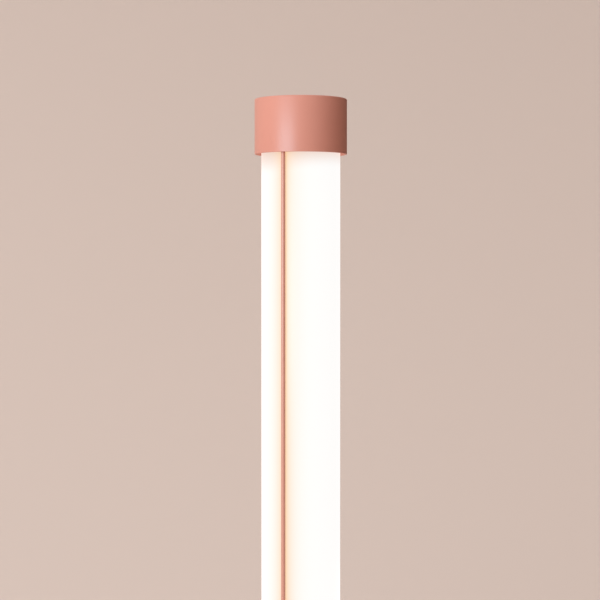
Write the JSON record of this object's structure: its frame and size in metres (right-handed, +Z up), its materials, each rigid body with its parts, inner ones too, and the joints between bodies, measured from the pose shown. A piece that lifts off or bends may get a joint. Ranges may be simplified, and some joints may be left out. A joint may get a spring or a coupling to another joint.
{
  "type": "led light tube",
  "caption": "Standing LED tube lamp: opal tube with a lift-off painted cap, a thin conduit up its side, a cup with a push switch and cord gland, and a weighted round foot.",
  "frame": {"origin": "on the floor under the tube's axis, at the middle of the rubber pad's underside", "axes": "+Z up along the tube; -Y is the front, with the conduit and the push switch; +Y is the back, with the cord gland"},
  "size_m": [0.17, 0.17, 0.675],
  "materials": {
    "pink_coat": "satin terracotta-pink powder coat",
    "opal_acrylic": "glossy opal white, lit from inside",
    "white_plastic": "fine satin moulding",
    "black_rubber": "matt",
    "silicone": "matt translucent grey",
    "zinc_steel": "bright zinc plate",
    "brass": "plain turned and stamped brass",
    "spring_steel": "drawn wire",
    "lamp_aluminium": "drawn, satin",
    "frosted_glass": "frosted, lit from inside",
    "board_white": "white solder mask",
    "black_nylon": "satin moulding",
    "brown_insulation": "smooth wire insulation",
    "blue_insulation": "smooth wire insulation",
    "earth_insulation": "green wire insulation with a yellow stripe"
  },
  "bodies": {
    "lamp": {"cord_gland": "black_nylon", "diffuser_tube": "opal_acrylic", "earth_tag": "brass", "earth_wire": "earth_insulation", "feed_conduit": "pink_coat", "feed_wire": "brown_insulation", "foot_pad": "black_rubber", "foot_plate": "pink_coat", "foot_screw_1": "zinc_steel", "foot_screw_2": "zinc_steel", "foot_screw_3": "zinc_steel", "gland_nut": "black_nylon", "lamp_bulb": "frosted_glass", "lamp_lower_cap": "lamp_aluminium", "lamp_lower_pin_1": "brass", "lamp_lower_pin_2": "brass", "lamp_upper_cap": "lamp_aluminium", "lamp_upper_pin_1": "brass", "lamp_upper_pin_2": "brass", "lampholder_spring": "spring_steel", "led_board": "board_white", "live_wire": "brown_insulation", "lower_cup": "pink_coat", "lower_fitting": "white_plastic", "lower_gasket": "silicone", "lower_holder_screw_1": "zinc_steel", "lower_holder_screw_2": "zinc_steel", "lower_holder_screw_3": "zinc_steel", "lower_lampholder": "white_plastic", "lower_o_ring": "black_rubber", "neutral_wire": "blue_insulation", "pillar_1": "zinc_steel", "pillar_2": "zinc_steel", "pillar_3": "zinc_steel", "switch_blade_1": "brass", "switch_blade_2": "brass", "switch_body": "pink_coat", "switch_nut": "zinc_steel", "terminal_block": "white_plastic", "upper_fitting": "white_plastic", "upper_gasket": "silicone", "upper_holder_screw_1": "zinc_steel", "upper_holder_screw_2": "zinc_steel", "upper_holder_screw_3": "zinc_steel", "upper_lampholder_housing": "white_plastic", "upper_o_ring": "black_rubber"},
    "cap": {"top_cap": "pink_coat"},
    "button": {"power_button": "pink_coat"},
    "plunger": {"upper_lampholder_plunger": "white_plastic"}
  },
  "joints": [
    {"name": "cap_lift", "type": "slide", "parent": "lamp", "child": "cap", "axis": [0, 0, 1], "range_m": [0, 0.045]},
    {"name": "button_press", "type": "slide", "parent": "lamp", "child": "button", "axis": [0, 1, 0], "range_m": [0, 0.0022], "stiffness_N_per_m": 900, "springref_m": -0.001},
    {"name": "lampholder_follow", "type": "slide", "parent": "lamp", "child": "plunger", "axis": [0, 0, 1], "range_m": [0, 0.004], "stiffness_N_per_m": 1500, "springref_m": -0.002, "deforming": ["lampholder_spring"]}
  ]
}
